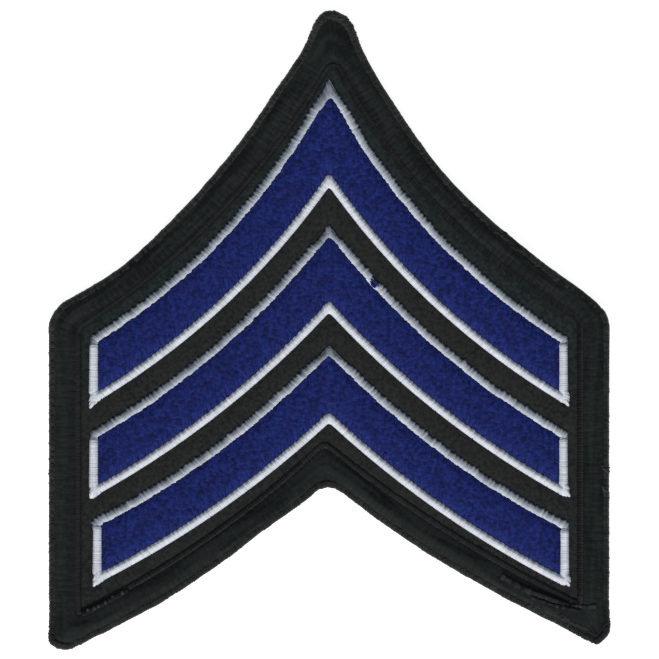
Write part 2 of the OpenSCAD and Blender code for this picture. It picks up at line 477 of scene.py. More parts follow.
def noise(tree, coordinates, scale, detail=2.0, stretch=(1, 1, 1)):
    place = add_node(tree, "ShaderNodeMapping")
    place.inputs["Scale"].default_value = stretch
    tree.links.new(coordinates, place.inputs["Vector"])
    field = add_node(tree, "ShaderNodeTexNoise")
    field.inputs["Scale"].default_value = scale
    field.inputs["Detail"].default_value = detail
    tree.links.new(place.outputs["Vector"], field.inputs["Vector"])
    return field.outputs["Fac"]


def bump(tree, shader, height, distance, strength=1.0):
    raised = add_node(tree, "ShaderNodeBump")
    raised.inputs["Distance"].default_value = distance
    raised.inputs["Strength"].default_value = strength
    tree.links.new(height, raised.inputs["Height"])
    tree.links.new(raised.outputs["Normal"], shader.inputs["Normal"])


TWIST_TURNS = 4.0
TWIST_SCALE = 0.63
TWIST_RELIEF = 0.03 * MM
STREAK_LONG = 9 * MM
STREAK_ROWS = 9.0


def worked_out(tree, operation, a, b):
    node = add_node(tree, "ShaderNodeMath", operation=operation)
    tree.links.new(a, node.inputs[0])
    tree.links.new(b, node.inputs[1])
    return node.outputs[0]


def plus(tree, a, b):
    return worked_out(tree, "ADD", a, b)


def thread_finish(name, dark, light, mottle_size, mottled, streaked=False, twisted=0.6, grain=2.0,
                  roughness=0.65, specular=0.08, sheen=0.02, sheen_tint=(1, 1, 1)):
    """Thread that runs from a dark to a light tone, stitch by stitch, with its twist raised."""
    finish, tree, shader = new_finish(name, roughness, specular, sheen, sheen_tint)
    thread_map = add_node(tree, "ShaderNodeUVMap", uv_map="thread_map")
    tone = add_node(tree, "ShaderNodeAttribute", attribute_name="tone").outputs["Fac"]
    coordinates = add_node(tree, "ShaderNodeTexCoord")
    mottle = noise(tree, coordinates.outputs["Object"], 1 / mottle_size, grain)
    tone = plus(tree, tone, reach(tree, mottle, 0.3, 0.7, -mottled, mottled))
    over = add_node(tree, "ShaderNodeSeparateXYZ")
    tree.links.new(thread_map.outputs["UV"], over.inputs[0])
    fade = add_node(tree, "ShaderNodeAttribute", attribute_name="fade")
    from_middle = reach(tree, over.outputs["X"], 0, 1, -1, 1)
    tone = plus(tree, tone, worked_out(tree, "MULTIPLY", fade.outputs["Fac"], from_middle))
    if streaked:
        along = add_node(tree, "ShaderNodeAttribute", attribute_name="along")
        place = add_node(tree, "ShaderNodeCombineXYZ")
        tree.links.new(over.outputs["X"], place.inputs["X"])
        tree.links.new(along.outputs["Fac"], place.inputs["Y"])
        streaks = noise(tree, place.outputs[0], 1.0, 1.0, (STREAK_ROWS, 1 / STREAK_LONG, 1))
        streak = add_node(tree, "ShaderNodeAttribute", attribute_name="streak")
        streaks = reach(tree, streaks, 0.35, 0.65, -1, 1)
        tone = plus(tree, tone, worked_out(tree, "MULTIPLY", streak.outputs["Fac"], streaks))
    colour = mix_colours(tree, reach(tree, tone, -1, 1), dark, light)
    tree.links.new(colour, shader.inputs["Base Color"])
    slant = add_node(tree, "ShaderNodeMapping")
    slant.inputs["Scale"].default_value = (TWIST_TURNS, 1, 1)
    tree.links.new(thread_map.outputs["UV"], slant.inputs["Vector"])
    twist = add_node(tree, "ShaderNodeTexWave", bands_direction="DIAGONAL")
    twist.inputs["Scale"].default_value = TWIST_SCALE
    tree.links.new(slant.outputs["Vector"], twist.inputs["Vector"])
    bump(tree, shader, twist.outputs["Fac"], TWIST_RELIEF, twisted)
    return finish


border_finish = thread_finish(
    "border_thread", (0.0025, 0.0042, 0.0044), (0.0104, 0.0142, 0.0138), 0.5 * MM, 0.55, streaked=True)
rim_finish = thread_finish(
    "rim_thread", (0.006, 0.0069, 0.0069), (0.0208, 0.023, 0.0232), 1.5 * MM, 0.5)
needle_finish = thread_finish(
    "needle_thread", (0.0035, 0.005, 0.005), (0.0165, 0.0195, 0.019), 1.5 * MM, 0.3)
stray_finish = thread_finish(
    "stray_thread", (0.004, 0.006, 0.006), (0.027, 0.03, 0.031), 1.3 * MM, 0.4)
blue_finish = thread_finish(
    "bar_thread", (0.0008, 0.0035, 0.043), (0.0066, 0.0158, 0.128), 0.55 * MM, 0.8,
    twisted=0.2, grain=1.0, specular=0.12)
white_finish = thread_finish(
    "edging_thread", (0.055, 0.075, 0.1), (0.61, 0.635, 0.71), 2.0 * MM, 0.15,
    specular=0.2, sheen=0.05)

# %% [markdown]
# The cloth is a twill of slanted ribs, with fine fibres and worn patches. The strip above the top
# bar is a little greener than the rest.

# %% Cloth finish
TWILL_PITCH = 0.45 * MM
TWILL_SLOPE = math.radians(55)
TWILL_RELIEF = 0.35
TWILL_WOBBLE = 1.2
WEAVE_RELIEF = 0.06 * MM
FIBRE_SIZE = 0.5 * MM
WEAR_SIZE = 9 * MM
GREEN_FROM = (22 * MM, 26 * MM)

cloth_finish, tree, shader = new_finish("twill_cloth", 0.85, 0.05, 0.03, (0.9, 0.88, 0.85))
on_cloth = add_node(tree, "ShaderNodeTexCoord").outputs["Object"]
slant = add_node(tree, "ShaderNodeMapping")
slant.inputs["Rotation"].default_value = (0, 0, TWILL_SLOPE)
tree.links.new(on_cloth, slant.inputs["Vector"])
twill = add_node(tree, "ShaderNodeTexWave", bands_direction="Y")
twill.inputs["Scale"].default_value = math.pi / 10 / TWILL_PITCH
twill.inputs["Distortion"].default_value = TWILL_WOBBLE
twill.inputs["Detail Scale"].default_value = 2.0
tree.links.new(slant.outputs["Vector"], twill.inputs["Vector"])
fibres = noise(tree, on_cloth, 1 / FIBRE_SIZE, 3.0)
fibred = reach(tree, fibres, 0.35, 0.65)
worn = reach(tree, noise(tree, on_cloth, 1 / WEAR_SIZE), 0.35, 0.65)
base = mix_colours(tree, worn, (0.0072, 0.0086, 0.009), (0.0106, 0.011, 0.0118))
fine = mix_colours(tree, fibred, base, (0.019, 0.019, 0.0195))
green = mix_colours(tree, fibred, (0.0066, 0.0102, 0.0108), (0.0155, 0.0196, 0.0205))
place = add_node(tree, "ShaderNodeSeparateXYZ")
tree.links.new(on_cloth, place.inputs["Vector"])
across_x = add_node(tree, "ShaderNodeMath", operation="ABSOLUTE")
tree.links.new(place.outputs["X"], across_x.inputs[0])
upwards = plus(tree, place.outputs["Y"], across_x.outputs[0])
cloth_colour = mix_colours(tree, reach(tree, upwards, *GREEN_FROM), fine, green)
tree.links.new(cloth_colour, shader.inputs["Base Color"])
weave = plus(tree, reach(tree, twill.outputs["Fac"], 0, 1, 0, TWILL_RELIEF), fibres)
bump(tree, shader, weave, WEAVE_RELIEF, 0.45)
print("finishes", [finish.name for finish in bpy.data.materials])

# %% [markdown]
# ## The ground cloth
# The cloth is one flat cut. Its edge is pinched inside the border and between two bars it puffs
# up a little, because the stitching pulls it down along every edge of the embroidery. It starts
# as a grid the size of the cut; what lies outside the cut is deleted, its edge is set on the
# cut's line, its height follows from how far each point lies from border and bars, and Solidify
# gives it its thickness, less of it where it is pinched.

# %% Cloth
CLOTH_CELL = 0.7 * MM
PUFF = 0.22 * MM
PUFF_REACH = 1.3 * MM
PINCH_REACH = 1.0 * MM
CLOSE = 0.2 * MM

cloth_low, cloth_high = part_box("ground_cloth")
cloth_top = cloth_high.z
tongue_low, tongue_top = levels("ground_cloth")[1:3]
cut = outlines("ground_cloth", tongue_top)[0]
plate = outlines("ground_cloth", cloth_top)[0]
bar_names = ("top", "middle", "bottom")
stitch_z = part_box("edging_top")[0].z
edging_outer = {}
edging_inner = {}
for bar in bar_names:
    outer, inner = outlines("edging_" + bar, stitch_z)
    edging_outer[bar] = outer
    edging_inner[bar] = inner


def nearest(points, loop):
    """Distance of each point to a loop of close points, and the place of the nearest one."""
    gaps = np.linalg.norm(points[:, None, :] - loop[None, :, :], axis=2)
    return gaps.min(axis=1), loop[gaps.argmin(axis=1)]


def inside(points, loop):
    """Whether each point lies inside a loop, by counting the edges to its right."""
    x, y = points[:, :1], points[:, 1:]
    x1, y1 = loop[:, 0], loop[:, 1]
    x2, y2 = np.roll(x1, -1), np.roll(y1, -1)
    spans = (y1 > y) != (y2 > y)
    with np.errstate(divide="ignore", invalid="ignore"):
        hits = spans & (x < x1 + (y - y1) * (x2 - x1) / (y2 - y1))
    return hits.sum(axis=1) % 2 == 1


def smooth(value):
    value = np.clip(value, 0, 1)
    return value * value * (3 - 2 * value)


size = cloth_high - cloth_low
deselect()
bpy.ops.mesh.primitive_grid_add(
    x_subdivisions=round(size.x / CLOTH_CELL), y_subdivisions=round(size.y / CLOTH_CELL),
    size=1, location=(0, (cloth_high.y + cloth_low.y) / 2, cloth_top))
cloth = bpy.context.object
cloth.name = "twill_ground"
cloth.scale = (size.x, size.y, 1)
bpy.ops.object.transform_apply(location=True, rotation=True, scale=True)

flat_points = np.array([v.co[:2] for v in cloth.data.vertices])
kept = inside(flat_points, cut)
mode("EDIT")
bpy.ops.mesh.select_all(action="DESELECT")
mode("OBJECT")
for v, keep in zip(cloth.data.vertices, kept):
    v.select = not keep
mode("EDIT")
bpy.ops.mesh.delete(type="VERT")
mode("OBJECT")

edge_uses = {}
for face in cloth.data.polygons:
    for key in face.edge_keys:
        edge_uses[key] = edge_uses.get(key, 0) + 1
on_edge = sorted({v for key, uses in edge_uses.items() if uses == 1 for v in key})
flat_points = np.array([v.co[:2] for v in cloth.data.vertices])
flat_points[on_edge] = nearest(flat_points[on_edge], evened(cut, CLOSE))[1]

plate_gap = nearest(flat_points, evened(plate, 2 * CLOSE))[0]
pinched = np.where(inside(flat_points, plate), 0, smooth(plate_gap / PINCH_REACH))
covered = np.zeros(len(flat_points), bool)
bar_gap = np.full(len(flat_points), 1.0)
for bar in bar_names:
    covered |= inside(flat_points, edging_outer[bar])
    bar_gap = np.minimum(bar_gap, nearest(flat_points, evened(edging_outer[bar], 2 * CLOSE))[0])
puffed = np.where(covered | (pinched > 0), 0, smooth(np.minimum(bar_gap, plate_gap) / PUFF_REACH))
tops = cloth_top - (cloth_top - tongue_top) * pinched + PUFF * puffed
for v, (x, y), z in zip(cloth.data.vertices, flat_points, tops):
    v.co = (x, y, z)

thickness = cloth.vertex_groups.new(name="thickness")
lows = tongue_low * pinched
for k, (top, low) in enumerate(zip(tops, lows)):
    thickness.add([k], float((top - low) / (cloth_top + PUFF)), "REPLACE")
solid = cloth.modifiers.new("thickness", "SOLIDIFY")
solid.thickness = cloth_top + PUFF
solid.offset = -1
solid.use_even_offset = False
solid.vertex_group = "thickness"
apply_modifier(cloth, "thickness")
bpy.ops.object.shade_smooth()
finish_piece(cloth, cloth_finish, "ground_cloth", "ground_cloth")

# %% [markdown]
# ## The blue fill
# Each bar is filled with short stitches that run up and down the sleeve. A stitch arches between
# its two needle holes, so its lower end catches the low light and its upper end turns dark: that
# is the mottle of the photograph. The stitches stand in columns, and every column starts at its
# own height. Just above the lower white line the fill is painted lighter, as painted light. Under the
# stitches lies the bar of the imported model, a little lowered, so that no gap opens, and painted
# darker, as painted shade where it shows between the stitches.
# At one place of the middle bar's upper line the white is thin and three blue threads show: a flaw.

# %% Fill stitches
FILL_PITCH = 0.42 * MM
FILL_LENGTHS = (0.5 * MM, 1.1 * MM)
FILL_SINK = 0.2 * MM
FILL_ABOVE = 0.03 * MM
FILL_RADIUS = 0.46 * MM
FILL_CROWN = 0.18 * MM
FILL_CROWN_REACH = 1.1 * MM
# Painted light: fill stitches near the lower white line of each bar are lighter.
FILL_PAINTED_LIGHT = 0.55
FILL_PAINTED_LIGHT_REACH = 2.6 * MM
FILL_TONE = -0.12
FILL_SPREAD = 0.28
FILL_LEAN = 0.16
FILL_WIDTHS = (0.95, 1.2)
FILL_SHORTEST = 0.35 * MM
# The bed under the blue stitches is darker: painted shade in the gaps between them.
FILL_BED_PAINTED_SHADE = -0.8
FILL_PATH = (
    (-0.7, -0.035), (-0.48, -0.008), (-0.2, 0.002), (0.08, 0.003), (0.38, -0.003), (0.7, -0.035))
FILL_SWELL = (0.85, 0.97, 1, 1, 0.98, 0.85)

fill_stitch = model_thread("fill_stitch", FILL_PATH, MM, MM, FILL_RADIUS, FILL_SWELL, 0.19)


def copy_node(node, name):
    """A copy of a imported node's mesh as a new piece, with its loose triangles merged."""
    piece = bpy.data.objects.new(name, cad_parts[node].data.copy())
    scene.collection.objects.link(piece)
    activate(piece)
    mode("EDIT")
    bpy.ops.mesh.select_all(action="SELECT")
    bpy.ops.mesh.remove_doubles(threshold=TINY / 10)
    mode("OBJECT")
    piece.data.materials.clear()
    return piece


def shrink(piece, distance):
    """Draws a closed piece in on all sides."""
    drawn = piece.modifiers.new("drawn_in", "DISPLACE")
    drawn.strength = -distance
    drawn.mid_level = 0
    apply_modifier(piece, "drawn_in")


def press(piece, share, low):
    """Presses a piece down to a share of its height above a low level."""
    activate(piece)
    mode("EDIT")
    bpy.ops.mesh.select_all(action="SELECT")
    bpy.ops.transform.resize(value=(1, 1, share), center_override=(0, 0, low))
    mode("OBJECT")


def set_tone(piece, tone):
    write_values(piece.data, "tone", "FLOAT", [tone] * len(piece.data.vertices))


def join(piece, *others):
    activate(piece, *others)
    bpy.ops.object.join()
    return piece


def span_at(loop, x):
    """Lowest and highest place where a line straight up at x crosses a loop."""
    ends = np.roll(loop, -1, axis=0)
    cross = (loop[:, 0] > x) != (ends[:, 0] > x)
    a, b = loop[cross], ends[cross]
    ys = a[:, 1] + (x - a[:, 0]) * (b[:, 1] - a[:, 1]) / (b[:, 0] - a[:, 0])
    return ys.min(), ys.max()


def fill_places(loop, top):
    """Stitches in columns over a loop, lower towards its edges, where the fill is crowned."""
    ends, painted_lights = [], []
    x = loop[:, 0].min() + FILL_PITCH / 2
    while x < loop[:, 0].max():
        low, high = span_at(loop, x)
        y = low - chance.uniform(0, FILL_LENGTHS[1])
        while y < high:
            length = chance.uniform(*FILL_LENGTHS)
            start, end = max(y, low), min(y + length, high)
            if end - start > FILL_SHORTEST:
                across_x = x + chance.gauss(0, 0.06) * MM
                ends.append(((across_x, start), (across_x, end)))
                painted_lights.append(FILL_PAINTED_LIGHT * (1 - smooth(((start + end) / 2 - low) / FILL_PAINTED_LIGHT_REACH)))
            y += length
        x += FILL_PITCH * chance.uniform(0.92, 1.08)
    gaps = nearest(np.array(ends).reshape(-1, 2), evened(loop, CLOSE))[0]
    sinks = (FILL_CROWN * (1 - smooth(gaps / FILL_CROWN_REACH))).reshape(-1, 2)
    places = []
    for (start, end), (sink_start, sink_end), painted_light in zip(ends, sinks, painted_lights):
        z = top + chance.gauss(0, 0.006) * MM
        places.append(across(
            lift(start, z - sink_start), lift(end, z - sink_end), PLAIN_LENGTH,
            chance.gauss(0, FILL_LEAN), chance.uniform(*FILL_WIDTHS),
            FILL_TONE + painted_light + chance.gauss(0, FILL_SPREAD)))
    return places


FLAW = (5.73 * MM, 6.01 * MM)
FLAW_THREADS = (
    ((0.05, 0.68), (0.85, -0.02), 0.0), ((-0.05, 0.42), (0.6, -0.12), 0.0),
    ((0.0, 0.14), (0.42, -0.3), 0.2))
FLAW_BELOW = 0.42 * MM
FLAW_THREAD_WIDTH = 0.32

flaw_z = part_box("edging_middle")[1].z - FLAW_BELOW
flaw_places = []
for start, end, above in FLAW_THREADS:
    z = flaw_z + above * MM
    start, end = [lift(np.array(FLAW) + np.array(point) * MM, z) for point in (start, end)]
    flaw_places.append(across(start, end, PLAIN_LENGTH, 0, FLAW_THREAD_WIDTH, 1.0))

for bar in bar_names:
    node = "bar_" + bar
    low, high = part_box(node)
    loop = outlines(node, high.z)[0]
    bed = copy_node(node, "bed_" + bar)
    press(bed, 1 - (FILL_SINK + FILL_CROWN / 2) / (high.z - low.z), low.z)
    set_tone(bed, FILL_BED_PAINTED_SHADE)
    places = fill_places(loop, high.z - FILL_SINK + FILL_ABOVE)
    places += flaw_places if bar == "middle" else []
    stitches = lay_copies("blue_fill_" + bar, fill_stitch, places)
    finish_piece(join(stitches, bed), blue_finish, "bar_thread", node)

# %% [markdown]
# ## The white satin line
# A satin line is a row of short stitches laid side by side across the line. Each one goes down
# into the cloth at both ends, so the line is arched. The needle doesn't hit the same line each
# time: on the side that faces up the sleeve a stitch now and then reaches further, and its thin
# end makes a small tooth. So the upper lines get a stitch of their own with one pointed end. Each
# stitch is laid between opposite points of the line's two edges, and one more pointed stitch stands
# out at each lower corner. Near the flaw the stitches are drawn in.

# %% Satin stitches
SATIN_PITCH = 0.31 * MM
SATIN_RADIUS = 0.33 * MM
SATIN_PATH = (
    (-0.45, -0.02), (-0.37, 0.26), (-0.22, 0.5), (0, 0.6), (0.22, 0.5), (0.37, 0.26), (0.45, -0.02))
SATIN_SWELL = (0.6, 0.9, 1, 1, 1, 0.95, 0.85)
UPPER_SWELL = (0.35, 0.7, 0.9, 1, 1, 0.85, 0.42)
TOOTH_EVERY = (2, 3)
TOOTH = (0.1 * MM, 0.3 * MM)
SATIN_FAN = 1.6 * MM
UPPER_RISE = 0.62
UPPER_DIP = 0.07 * MM
UPPER_THIN = 0.85
# The white thread has one colour. These tones and fades paint light and shade by the way a stitch faces
# the low lamp: lower lines and legs are painted lighter, upper lines darker and more so on the left.
# Along the upper stitches the colour darkens towards the outer end, which is painted shade and also the
# thin tips mixing with the dark cloth. Along the lower stitches the outer end is painted lighter and the
# end at the bar darker.
UPPER_PAINTED_SHADE_TONE = -0.33
UPPER_TIP_AND_PAINTED_SHADE_FADE = 1.35
UPPER_LEFT_PAINTED_SHADE = 0.15
LOWER_PAINTED_LIGHT_TONE = 0.43
LOWER_PAINTED_LIGHT_FADE = -0.45
LEG_PAINTED_LIGHT_TONE = 0.55
UPPER_OUT = 0.16 * MM
UPPER_IN = 0.13 * MM
UPPER_LEFT_OUT = 0.06 * MM
UPPER_TEETH = 0.75
UPPER_WANDER = 0.03 * MM
DRIFT_KEPT = 0.8
LOWER_IN = 0.05 * MM
LOWER_LEFT_IN = 0.05 * MM
LOWER_TEETH = 0.4
PEAK_REACH = 4.2 * MM
PEAK_INSET = 0.58 * MM
PEAK_SPIKE = 0.35 * MM
PEAK_DARK = 0.3
PEAK_EVEN = 0.75
PEAK_LOWER = {"top": 0.42 * MM, "middle": 0.05 * MM, "bottom": 0.2 * MM}
BLUE_PEAK = (0.2 * MM, 31.3 * MM)
BLUE_SLOPE = 1.5
LEG_SHIFT = 0.1 * MM
LEG_SLIDE = -0.12 * MM
LEG_WIDER = 0.13 * MM
LEG_SPLAY = 0.12 * MM
LEG_LENGTH = 9 * MM
TIP_LONGER = {"top": (0.1, -0.3), "middle": (0.1, -0.3), "bottom": (0.1, -0.6)}
TIP_REACH = 0.8 * MM
SPIKE_POINTS = {
    "top": ((-32.65, -10.8), (32.6, -10.5)),
    "middle": ((-32.3, -23.05), (32.75, -22.85)),
    "bottom": ((-32.15, -35.05), (32.72, -35.0))}
SPIKE_WAY = (0.95 * MM, 1.45 * MM)
SPIKE_WIDTH = 0.85
BED_LOW = 0.58
BED_INSET = 0.22 * MM
FLAW_GAP = 0.4 * MM
FLAW_THIN = 0.36
FLAW_DRAWN = 0.35
FLAW_REACH = 1.2 * MM
FLAW_SHIFT = 0.12 * MM
FLAW_LIGHT = 0.3
FLAW_DARK = 0.5

satin_ends = {}
for bar in bar_names:
    satin_ends[bar] = stations(edging_outer[bar], edging_inner[bar], SATIN_PITCH, SATIN_FAN)
edging_w = band_width(*satin_ends["top"])
print("edging", round(edging_w / MM, 2), "mm wide")
satin_stitch, upper_stitch = [
    model_thread(name, SATIN_PATH, edging_w, MM, SATIN_RADIUS, swell, 0.43)
    for name, swell in (("satin_stitch", SATIN_SWELL), ("upper_stitch", UPPER_SWELL))]


def satin_places(bar, outer, inner):
    """Places of the lower and of the upper stitches, from one edge to the other. On the upper side
    one now and then reaches further."""
    tips = [min(outer, key=lambda point: point[1] - side * point[0]) for side in (-1, 1)]
    peak = outer[outer[:, 1].argmax()]
    edge_x = abs(outer[:, 0]).max() - LEG_SHIFT
    lower_places, upper_places = [], []
    wait, drift = 0, 0
    for a, b in zip(outer, inner):
        to_tip = min(math.dist(a, tip) for tip in tips)
        to_peak = math.dist(a, peak)
        astray = math.dist((a + b) / 2, FLAW)
        z = stitch_z + chance.gauss(0, 0.008) * MM
        a, b = lift(a, z), lift(b, z)
        way = (b - a).normalized()
        splayed = LEG_SPLAY * max(0, 1 - to_tip / LEG_LENGTH)
        peaked = max(0, 1 - to_peak / PEAK_REACH)
        leg = float(smooth((abs(way.x) - 0.85) / 0.12))
        upper = float(smooth((-way.y - 0.05) / 0.35))
        wait -= 1
        tooth = chance.uniform(*TOOTH) if wait <= 0 else chance.uniform(-0.03, 0.03) * MM
        if wait <= 0:
            wait = chance.choice(TOOTH_EVERY)
        lower = (1 - upper) * (1 - leg)
        drift = DRIFT_KEPT * drift + chance.gauss(0, UPPER_WANDER)
        inwards = drift * upper
        if a.x < 0:
            inwards += LOWER_LEFT_IN * lower - UPPER_LEFT_OUT * upper
        a += way * (inwards + LEG_SHIFT * leg - (UPPER_OUT + UPPER_TEETH * tooth * (1 - peaked)) * upper)
        b += way * (inwards + (LEG_SHIFT + LEG_WIDER) * leg + UPPER_IN * upper)
        b += way * (LOWER_IN + LOWER_TEETH * tooth) * lower
        a += way * (PEAK_INSET if to_peak > PEAK_SPIKE else PEAK_LOWER[bar]) * peaked
        if bar == "top" and peaked:
            b.y = min(b.y, BLUE_PEAK[1] - abs(b.x - BLUE_PEAK[0]) * BLUE_SLOPE)
        a -= way * splayed * leg
        tipped = max(0, 1 - to_tip / TIP_REACH)
        a.x = min(max(a.x, -edge_x - splayed), edge_x + splayed) + LEG_SLIDE * max(leg, tipped)
        b.x += LEG_SLIDE * leg
        a.y -= TIP_LONGER[bar][a.x > 0] * MM * tipped
        a.z -= UPPER_DIP * upper
        tone = LOWER_PAINTED_LIGHT_TONE + (LEG_PAINTED_LIGHT_TONE - LOWER_PAINTED_LIGHT_TONE) * leg + (UPPER_PAINTED_SHADE_TONE - LOWER_PAINTED_LIGHT_TONE) * upper
        tone += chance.gauss(0, 0.08) - UPPER_LEFT_PAINTED_SHADE * way.x * upper
        tone -= PEAK_DARK * float(smooth(2 * peaked))
        fade = LOWER_PAINTED_LIGHT_FADE * (1 - leg) + (UPPER_TIP_AND_PAINTED_SHADE_FADE * (1 - PEAK_EVEN * peaked) - LOWER_PAINTED_LIGHT_FADE) * upper
        if astray < FLAW_REACH:
            a += way * (FLAW_SHIFT + FLAW_DRAWN * (FLAW_REACH - astray))
            b += way * FLAW_SHIFT
            tone += FLAW_LIGHT
        if astray < FLAW_GAP:
            a += way * FLAW_THIN * edging_w
            tone -= FLAW_DARK
        width = chance.uniform(0.9, 1.1) * (1 + (UPPER_THIN - 1) * upper)
        rise = 1 + (UPPER_RISE - 1) * upper
        place = across(a, b, edging_w, chance.gauss(0.08, 0.04), width, tone, rise, fade)
        (upper_places if upper > 0.5 else lower_places).append(place)
    for x, y in SPIKE_POINTS[bar]:
        point = Vector((x * MM, y * MM, stitch_z))
        root = point + Vector((-math.copysign(SPIKE_WAY[0], x), SPIKE_WAY[1], 0))
        upper_places.append(across(point, root, edging_w, 0, SPIKE_WIDTH, LOWER_PAINTED_LIGHT_TONE))
    return lower_places, upper_places


for bar in bar_names:
    node = "edging_" + bar
    bed = copy_node(node, "edging_bed_" + bar)
    press(bed, BED_LOW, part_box(node)[0].z)
    shrink(bed, BED_INSET)
    # The bed under the white stitches takes the darkest tone: painted shade in the gaps between them.
    set_tone(bed, -1.0)
    lower_places, upper_places = satin_places(bar, *satin_ends[bar])
    stitches = lay_copies("white_edging_" + bar, satin_stitch, lower_places)
    upper_line = lay_copies("upper_line_" + bar, upper_stitch, upper_places)
    finish_piece(join(stitches, upper_line, bed), white_finish, "edging_thread", node)

# %% [markdown]
# ## The overlocked border
# An overlock machine winds thread round the cut edge and knots each turn on the rim. A turn comes
# up from under the cloth, goes round the rim, over the ridge and down into a needle hole on the
# inner side. One turn is modelled along the border's section and laid between opposite points of
# the rim and the inner edge, so that the turns fan out at the corners as they do on the patch.
# Long streaks run on from turn to turn, and the point of the patch is a little lighter. The turns
# carry painted light and shade: they are painted darker on the upper sides and lighter on the left,
# lighter at the rim on the upper sides and at the foot on the lower ones, and a painted highlight lies
# along the rim of the upper right side. Below the turns lies the border of the imported model, drawn
# in by less than a thread and painted darker, as painted shade between the turns.

# %% Turns of thread
WRAP_PITCH = 0.4 * MM
WRAP_RADIUS = 0.52 * MM
WRAP_PATH = (
    (0.95, 0.09), (0.5, 0.085), (0.17, 0.105), (0.06, 0.3), (0.055, 0.5), (0.13, 0.72),
    (0.28, 0.88), (0.48, 0.925), (0.66, 0.88), (0.83, 0.76), (0.95, 0.63), (1.0, 0.5))
WRAP_SWELL = (0.8, 1, 1, 1, 1, 1, 1, 1, 1, 1, 1, 1)
CORE_SINK = 0.13 * MM
# Painted light and shade by the way each turn faces: darker on the upper sides, a little lighter on the
# lower sides and on the left, and fades that paint the rim end lighter on the upper sides and the foot
# end lighter on the lower ones.
WRAP_UPPER_PAINTED_SHADE = 0.85
WRAP_LOWER_PAINTED_LIGHT = 0.05
WRAP_LOWER_PAINTED_FADE = 0.45
WRAP_UPPER_PAINTED_FADE = 0.25
SIDE_TONE = 0.18
LEFT_PAINTED_LIGHT = 0.2
STREAKED = (0.35, 1.0)
STREAKED_RIGHT_FOOT = 1.6
WRAP_OUT = (-0.02, 0.015)
WRAP_IN = (-0.05, 0.03)
WRAP_LEAN = 0.02
WRAP_WIDTHS = (1.05, 1.2)
WRAP_SPREAD = 0.04
# The core under the turns is painted darker: painted shade in the gaps between the turns.
CORE_PAINTED_SHADE = -0.5
PEAK_LIGHT = 0.55
PEAK_FROM = (33 * MM, 39 * MM)
# Painted highlight along the rim of the upper right side.
TOP_RIGHT_PAINTED_HIGHLIGHT = 0.35
TOP_RIGHT_HIGHLIGHT_FADE = 0.65
WANDER = 0.02 * MM
RIM_WAVES = [(cycles, chance.uniform(0, 2 * math.pi)) for cycles in (29, 47, 71, 101)]

wrap = model_thread("wrap", WRAP_PATH, border_w, border_h, WRAP_RADIUS, WRAP_SWELL, 0.22, middle=0.5)

core = copy_node("merrowed_border", "border_core")
shrink(core, CORE_SINK)
stray_out(core)
bpy.ops.object.shade_smooth()
set_tone(core, CORE_PAINTED_SHADE)


def wander(count):
    """How far a closed row of stitches strays in and out of line, slowly, at each of its stitches."""
    around = np.arange(count) * 2 * math.pi / count
    return sum(WANDER * np.sin(cycles * around + phase) for cycles, phase in RIM_WAVES)


def near_peak(y):
    """From 0 in the patch's upper part to 1 at its point."""
    return float(smooth((y - PEAK_FROM[0]) / (PEAK_FROM[1] - PEAK_FROM[0])))


wrap_places = []
rim_stops, foot_stops = border_stops(WRAP_PITCH)
for a, b, stray in zip(rim_stops, foot_stops, wander(len(rim_stops))):
    z = chance.gauss(0, 0.006) * MM
    a, b = lift(a, z), lift(b, z)
    way = (b - a).normalized()
    a -= way * (rim_stray(a) + stray * abs(way.y) + chance.gauss(*WRAP_OUT) * MM)
    b += way * chance.gauss(*WRAP_IN) * MM
    tone = SIDE_TONE + way.y * (WRAP_UPPER_PAINTED_SHADE if way.y < 0 else WRAP_LOWER_PAINTED_LIGHT) + LEFT_PAINTED_LIGHT * way.x
    tone += PEAK_LIGHT * near_peak(a.y)
    fade = WRAP_LOWER_PAINTED_FADE * max(0, way.y) + WRAP_UPPER_PAINTED_FADE * min(0, way.y)
    streaked = STREAKED[0] + (STREAKED[1] - STREAKED[0]) * abs(way.y)
    if a.x > 0 and way.y > 0:
        streaked *= STREAKED_RIGHT_FOOT
    elif a.x > 0:
        tone -= TOP_RIGHT_PAINTED_HIGHLIGHT * way.y
        fade += TOP_RIGHT_HIGHLIGHT_FADE * way.y
    wrap_places.append(across(
        a, b, border_w, chance.gauss(0, WRAP_LEAN), chance.uniform(*WRAP_WIDTHS),
        tone + chance.gauss(0, WRAP_SPREAD), 1, fade, streaked))
wraps = lay_copies("border_wraps", wrap, wrap_places)
finish_piece(join(wraps, core), border_finish, "border_thread", "merrowed_border")

# %% [markdown]
# ## The knots on the rim
# The two looper threads cross on the rim and leave a row of short slanted knots there, by turns a
# long and a short one. They are a little lighter and greyer than the turns, but darker at the point
# of the patch. They carry painted light and shade: lighter on the upper sides, most on the upper
# right, as a painted highlight with some real wear, lighter on the left, and darker on the lower
# sides and the right. They reach further in on the upper sides and make the cut look notched.

# %% Rim knots
KNOT_PITCH = 0.82 * MM
KNOT_RADIUS = 0.42 * MM
